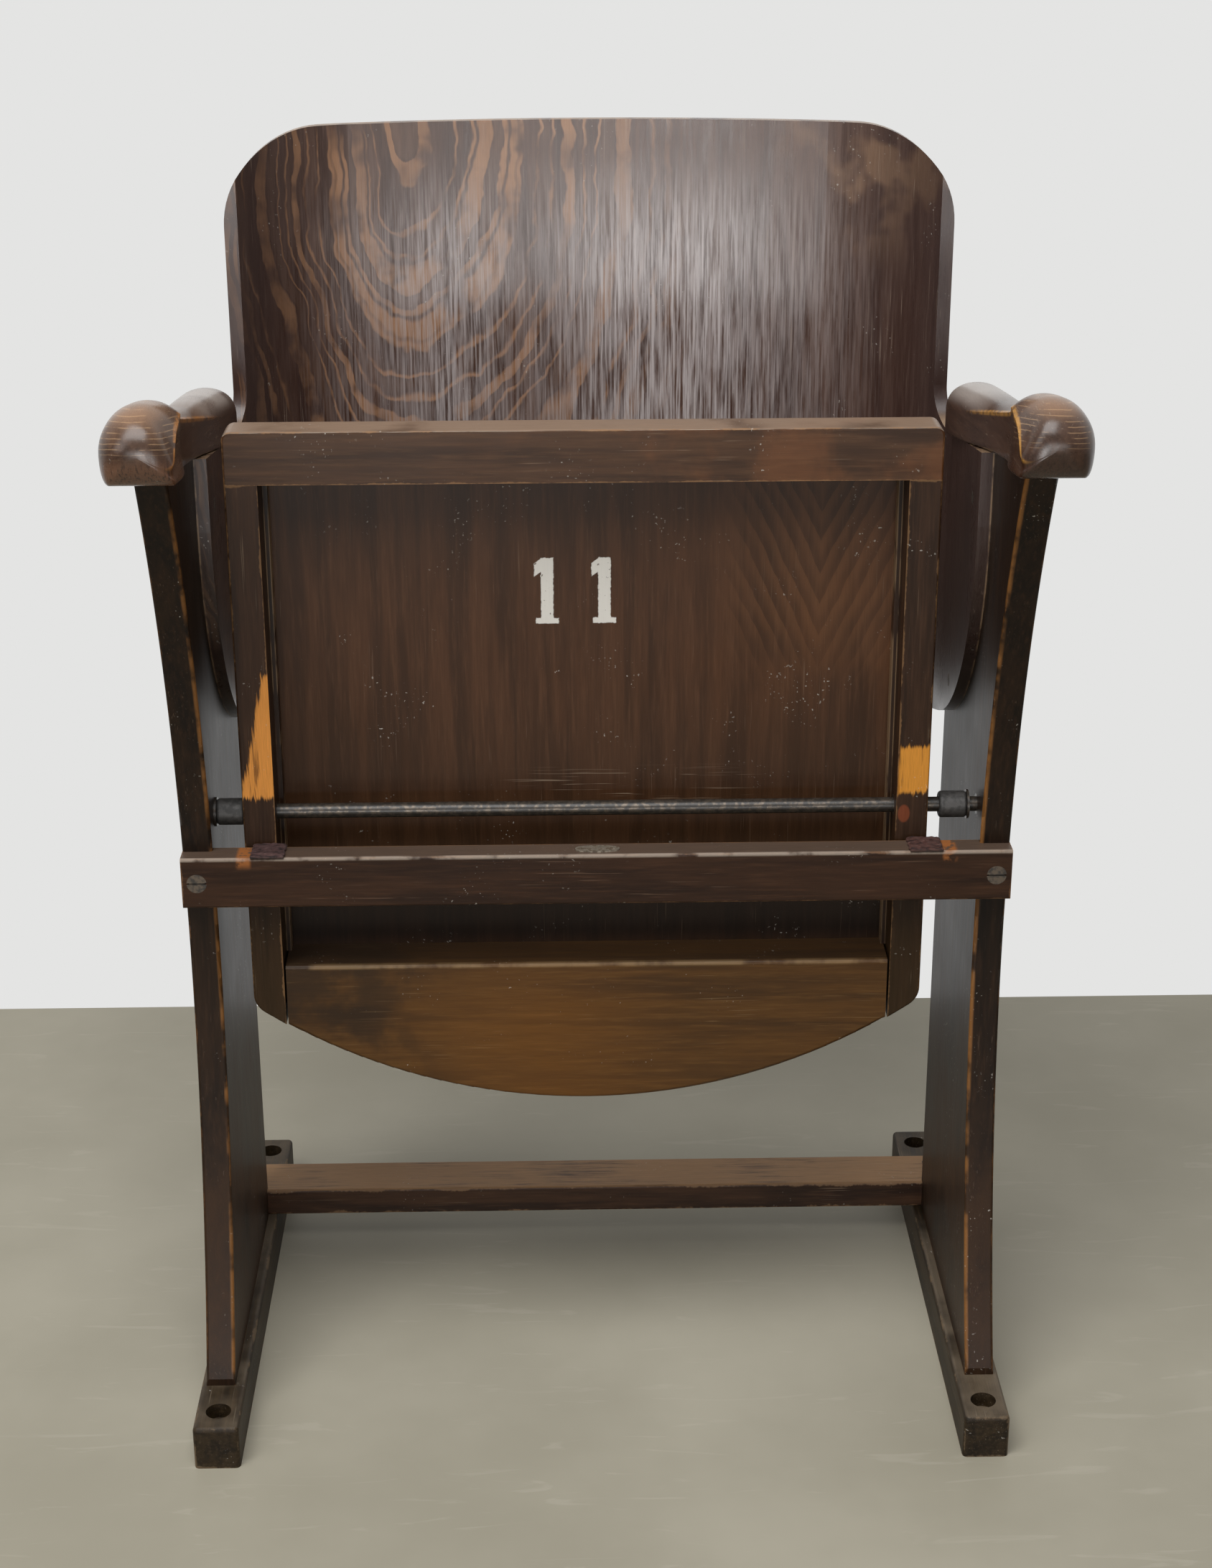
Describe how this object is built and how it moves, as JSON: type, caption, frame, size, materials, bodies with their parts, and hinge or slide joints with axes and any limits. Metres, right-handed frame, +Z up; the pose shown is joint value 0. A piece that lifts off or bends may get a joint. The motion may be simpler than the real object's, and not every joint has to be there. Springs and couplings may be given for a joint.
{
  "type": "tip up auditorium seat",
  "caption": "Tip-up hall seat of stained wood: a hinged seat frame on a steel axle between side panels with carved arms, floor runners and a curved plywood back.",
  "frame": {"origin": "on the floor, in the middle of the four floor fixings in the runners", "axes": "+Z up, +X to the right of someone facing the seat, -Y towards the front"},
  "size_m": [0.5816, 0.4186, 0.852],
  "materials": {
    "panel_wood": "dark stained and polished, worn to bare wood along its edges",
    "foot_wood": "dark stained, scuffed and dusty",
    "rail_wood": "dark stained and polished, pale along its worn edge",
    "arm_wood": "stained and polished, worn pale where hands rest",
    "back_plywood": "stained plywood with a glossy varnish and cathedral grain",
    "seat_frame_wood": "stained, with amber patches where the stain has worn",
    "seat_plywood": "dark stained plywood with a plain stencilled number",
    "dowel_wood": "plain beech",
    "rail_leather": "dark grained leather, pressed flat",
    "axle_steel": "bare steel, darkened with age",
    "sleeve_black": "matte black",
    "screw_steel": "bare steel with a straight slot",
    "plate_metal": "plain, worn dull"
  },
  "bodies": {
    "frame": {"left_side_panel": "panel_wood", "right_side_panel": "panel_wood", "left_foot_runner": "foot_wood", "right_foot_runner": "foot_wood", "foot_stretcher": "foot_wood", "front_rail": "rail_wood", "left_armrest": "arm_wood", "right_armrest": "arm_wood", "backrest_shell": "back_plywood", "arm_dowels": "dowel_wood", "left_rail_pad": "rail_leather", "right_rail_pad": "rail_leather", "axle_rod": "axle_steel", "left_thrust_washer": "axle_steel", "right_thrust_washer": "axle_steel", "left_panel_bush": "axle_steel", "right_panel_bush": "axle_steel", "left_spacer_sleeve": "sleeve_black", "right_spacer_sleeve": "sleeve_black", "rail_screws": "screw_steel", "backrest_screws": "screw_steel", "stretcher_screws": "screw_steel", "runner_screws": "screw_steel", "oval_plate": "plate_metal", "plate_pins": "plate_metal"},
    "seat": {"seat_nose_rail": "seat_frame_wood", "left_seat_stile": "seat_frame_wood", "right_seat_stile": "seat_frame_wood", "seat_rear_board": "seat_frame_wood", "seat_panel": "seat_plywood", "left_panel_cleat": "seat_frame_wood", "right_panel_cleat": "seat_frame_wood", "nose_cleat": "seat_frame_wood", "nose_dowels": "dowel_wood", "rear_board_screws": "screw_steel", "seat_panel_screws": "screw_steel", "left_stile_bush": "axle_steel", "right_stile_bush": "axle_steel"}
  },
  "joints": [
    {"name": "seat_tip", "type": "hinge", "parent": "frame", "child": "seat", "pos_m": [0, -0.0683, 0.4322], "axis": [1, 0, 0], "range_deg": [0, 90]}
  ]
}
